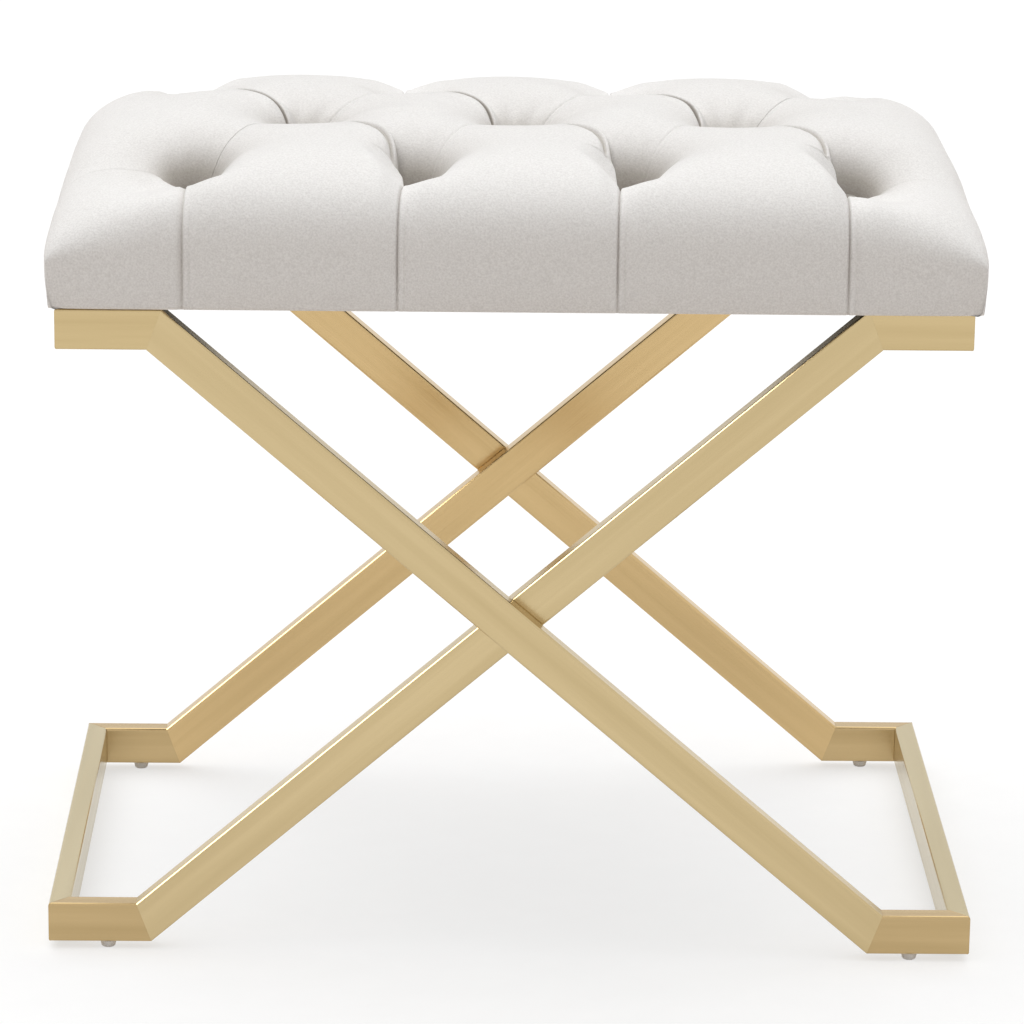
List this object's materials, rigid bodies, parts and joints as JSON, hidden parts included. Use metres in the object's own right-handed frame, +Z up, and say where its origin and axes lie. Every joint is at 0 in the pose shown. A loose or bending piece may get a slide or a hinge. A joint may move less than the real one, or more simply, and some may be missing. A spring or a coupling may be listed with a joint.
{
  "type": "upholstered bench",
  "caption": "Tufted pale velvet bench seat on crossed loops of brushed gold rectangular tube, with mitred corners, floor bars at the ends and small glides.",
  "frame": {"origin": "on the floor under the middle of the seat", "axes": "+Z up, +X along the seat to the right as seen from the front, +Y to the rear"},
  "size_m": [0.594, 0.409, 0.5172],
  "materials": {
    "brushed_gold": "satin gold plated, brushed along the tube",
    "zinc_steel": "zinc plated",
    "clear_nylon": "cloudy, translucent",
    "pale_velvet": "short-pile velvet",
    "cream_foam": "cut open-cell foam",
    "plywood": "bare",
    "black_cloth": "thin non-woven cloth",
    "waxed_twine": "waxed"
  },
  "bodies": {
    "root": {"outer_front_arm": "brushed_gold", "outer_front_leg": "brushed_gold", "outer_front_foot": "brushed_gold", "outer_floor_bar": "brushed_gold", "outer_rear_foot": "brushed_gold", "outer_rear_leg": "brushed_gold", "outer_rear_arm": "brushed_gold", "outer_seat_bar": "brushed_gold", "outer_front_glide": "clear_nylon", "outer_front_tab": "brushed_gold", "outer_front_bolt": "zinc_steel", "outer_front_tee_nut": "zinc_steel", "outer_rear_glide": "clear_nylon", "outer_rear_tab": "brushed_gold", "outer_rear_bolt": "zinc_steel", "outer_rear_tee_nut": "zinc_steel", "inner_front_arm": "brushed_gold", "inner_front_leg": "brushed_gold", "inner_front_foot": "brushed_gold", "inner_floor_bar": "brushed_gold", "inner_rear_foot": "brushed_gold", "inner_rear_leg": "brushed_gold", "inner_rear_arm": "brushed_gold", "inner_seat_bar": "brushed_gold", "inner_front_glide": "clear_nylon", "inner_front_tab": "brushed_gold", "inner_front_bolt": "zinc_steel", "inner_front_tee_nut": "zinc_steel", "inner_rear_glide": "clear_nylon", "inner_rear_tab": "brushed_gold", "inner_rear_bolt": "zinc_steel", "inner_rear_tee_nut": "zinc_steel", "velvet_cover": "pale_velvet", "foam_pad": "cream_foam", "seat_board": "plywood", "dust_cover": "black_cloth", "button_front_1": "pale_velvet", "button_front_2": "pale_velvet", "button_front_3": "pale_velvet", "button_front_4": "pale_velvet", "button_middle_1": "pale_velvet", "button_middle_2": "pale_velvet", "button_middle_3": "pale_velvet", "button_rear_1": "pale_velvet", "button_rear_2": "pale_velvet", "button_rear_3": "pale_velvet", "button_rear_4": "pale_velvet", "twine_front_1": "waxed_twine", "twine_front_2": "waxed_twine", "twine_front_3": "waxed_twine", "twine_front_4": "waxed_twine", "twine_middle_1": "waxed_twine", "twine_middle_2": "waxed_twine", "twine_middle_3": "waxed_twine", "twine_rear_1": "waxed_twine", "twine_rear_2": "waxed_twine", "twine_rear_3": "waxed_twine", "twine_rear_4": "waxed_twine"}
  },
  "joints": []
}
